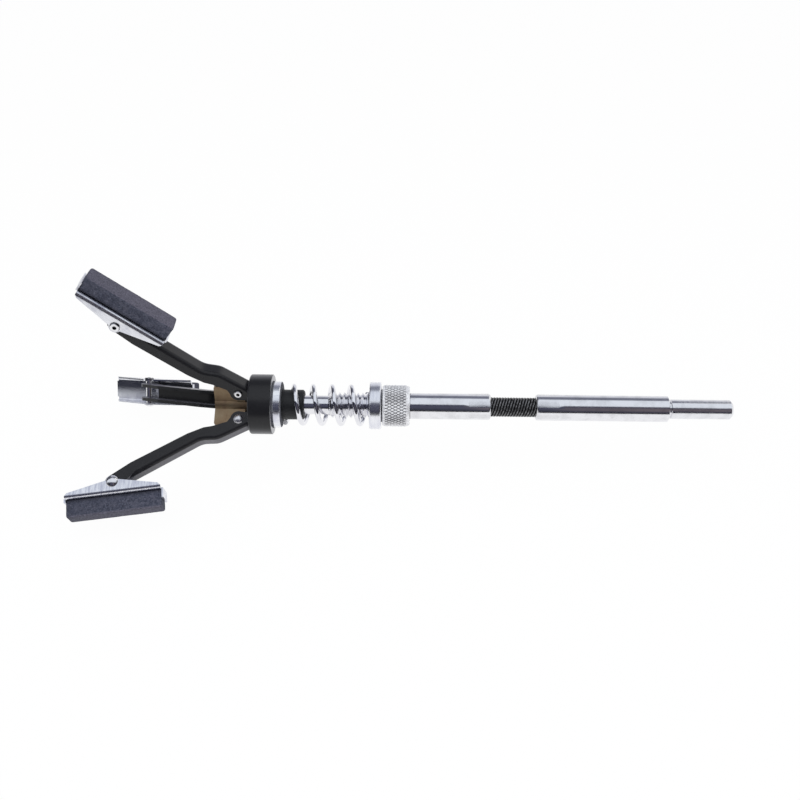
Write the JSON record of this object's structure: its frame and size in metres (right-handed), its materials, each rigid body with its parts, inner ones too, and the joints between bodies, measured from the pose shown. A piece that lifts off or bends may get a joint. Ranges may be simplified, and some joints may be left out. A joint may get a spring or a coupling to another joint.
{
  "type": "cylinder hone",
  "caption": "Cylinder hone with sprung channel arms carrying abrasive stones on pivoting holders, a thrust collar, coil spring, knurled adjusting nut and flexible drive shaft.",
  "frame": {"origin": "on the tool's axis at the shoulder where the drive shank leaves its ferrule", "axes": "+X along the axis out of the shank's end, +Z towards the first arm, which points straight up; the other two arms point down at either side"},
  "size_m": [0.2004, 0.0701, 0.0688],
  "materials": {
    "stone": "fine dark abrasive grit",
    "zinc_plate": "bright zinc plate",
    "black_steel": "satin black",
    "yellow_zinc": "yellow passivated zinc",
    "bright_steel": "fine turned",
    "spring_steel": "bright",
    "nut_steel": "knurled",
    "black_polymer": "matte",
    "wire_black": "black oxide wire"
  },
  "bodies": {
    "spindle": {"spindle": "bright_steel", "hub": "yellow_zinc", "spring": "spring_steel"},
    "arm_1": {"arm_1": "black_steel", "arm_rivet_1": "bright_steel"},
    "holder_1": {"stone_holder_1": "zinc_plate", "holder_rivet_1": "bright_steel", "stone_1": "stone"},
    "arm_2": {"arm_2": "black_steel", "arm_rivet_2": "bright_steel"},
    "holder_2": {"stone_holder_2": "zinc_plate", "holder_rivet_2": "bright_steel", "stone_2": "stone"},
    "arm_3": {"arm_3": "black_steel", "arm_rivet_3": "bright_steel"},
    "holder_3": {"stone_holder_3": "zinc_plate", "holder_rivet_3": "bright_steel", "stone_3": "stone"},
    "collar": {"thrust_collar": "black_steel", "spring_seat_washer": "zinc_plate", "guide_bush": "black_polymer"},
    "washer": {"thrust_washer": "zinc_plate"},
    "nut": {"adjusting_nut": "nut_steel"},
    "flexible_shaft": {"flex_winding": "wire_black", "flex_core": "wire_black"},
    "shank": {"shank": "bright_steel"}
  },
  "joints": [
    {"name": "arm_1_swing", "type": "hinge", "parent": "spindle", "child": "arm_1", "pos_m": [-0.132, 0, 0.00595], "axis": [0, -1, 0], "range_deg": [0, 29], "stiffness_Nm_per_rad": 0.185, "springref_deg": -34.38},
    {"name": "arm_2_swing", "type": "hinge", "parent": "spindle", "child": "arm_2", "pos_m": [-0.132, -0.00515, -0.00298], "axis": [0, 0.5, -0.866], "range_deg": [0, 29]},
    {"name": "arm_3_swing", "type": "hinge", "parent": "spindle", "child": "arm_3", "pos_m": [-0.132, 0.00515, -0.00298], "axis": [0, 0.5, 0.866], "range_deg": [0, 29]},
    {"name": "holder_1_tilt", "type": "hinge", "parent": "arm_1", "child": "holder_1", "pos_m": [-0.16491, 0, 0.03057], "axis": [0, 1, 0], "range_deg": [-70.7, 6.3]},
    {"name": "holder_2_tilt", "type": "hinge", "parent": "arm_2", "child": "holder_2", "pos_m": [-0.16745, -0.02316, -0.01337], "axis": [0, -0.5, 0.866], "range_deg": [-47.6, 29.4]},
    {"name": "holder_3_tilt", "type": "hinge", "parent": "arm_3", "child": "holder_3", "pos_m": [-0.16704, 0.02375, -0.01371], "axis": [0, -0.5, -0.866], "range_deg": [-56.5, 20.5]},
    {"name": "collar_slide", "type": "slide", "parent": "spindle", "child": "collar", "axis": [1, 0, 0], "range_m": [0, 0.00254], "deforming": ["spring"]},
    {"name": "washer_slide", "type": "slide", "parent": "spindle", "child": "washer", "axis": [-1, 0, 0], "range_m": [0, 0.00988]},
    {"name": "nut_turn", "type": "hinge", "parent": "washer", "child": "nut", "pos_m": [-0.0846, 0, 0], "axis": [-1, 0, 0], "range_deg": [0, 2520]},
    {"name": "shaft_bend_up", "type": "hinge", "parent": "spindle", "child": "flexible_shaft", "pos_m": [-0.0517, 0, 0], "axis": [0, 1, 0], "range_deg": [-20, 20], "stiffness_Nm_per_rad": 3, "deforming": ["flex_winding", "flex_core"]},
    {"name": "shaft_bend_side", "type": "hinge", "parent": "flexible_shaft", "child": "shank", "pos_m": [-0.0449, 0, 0], "axis": [0, 0, 1], "range_deg": [-20, 20], "stiffness_Nm_per_rad": 3}
  ],
  "couplings": [
    {"joint": "arm_2_swing", "follows": "arm_1_swing", "ratio": 1},
    {"joint": "arm_3_swing", "follows": "arm_1_swing", "ratio": 1},
    {"joint": "collar_slide", "follows": "arm_1_swing", "m_per_rad": 0.005},
    {"joint": "nut_turn", "follows": "washer_slide", "rad_per_m": 4453}
  ]
}
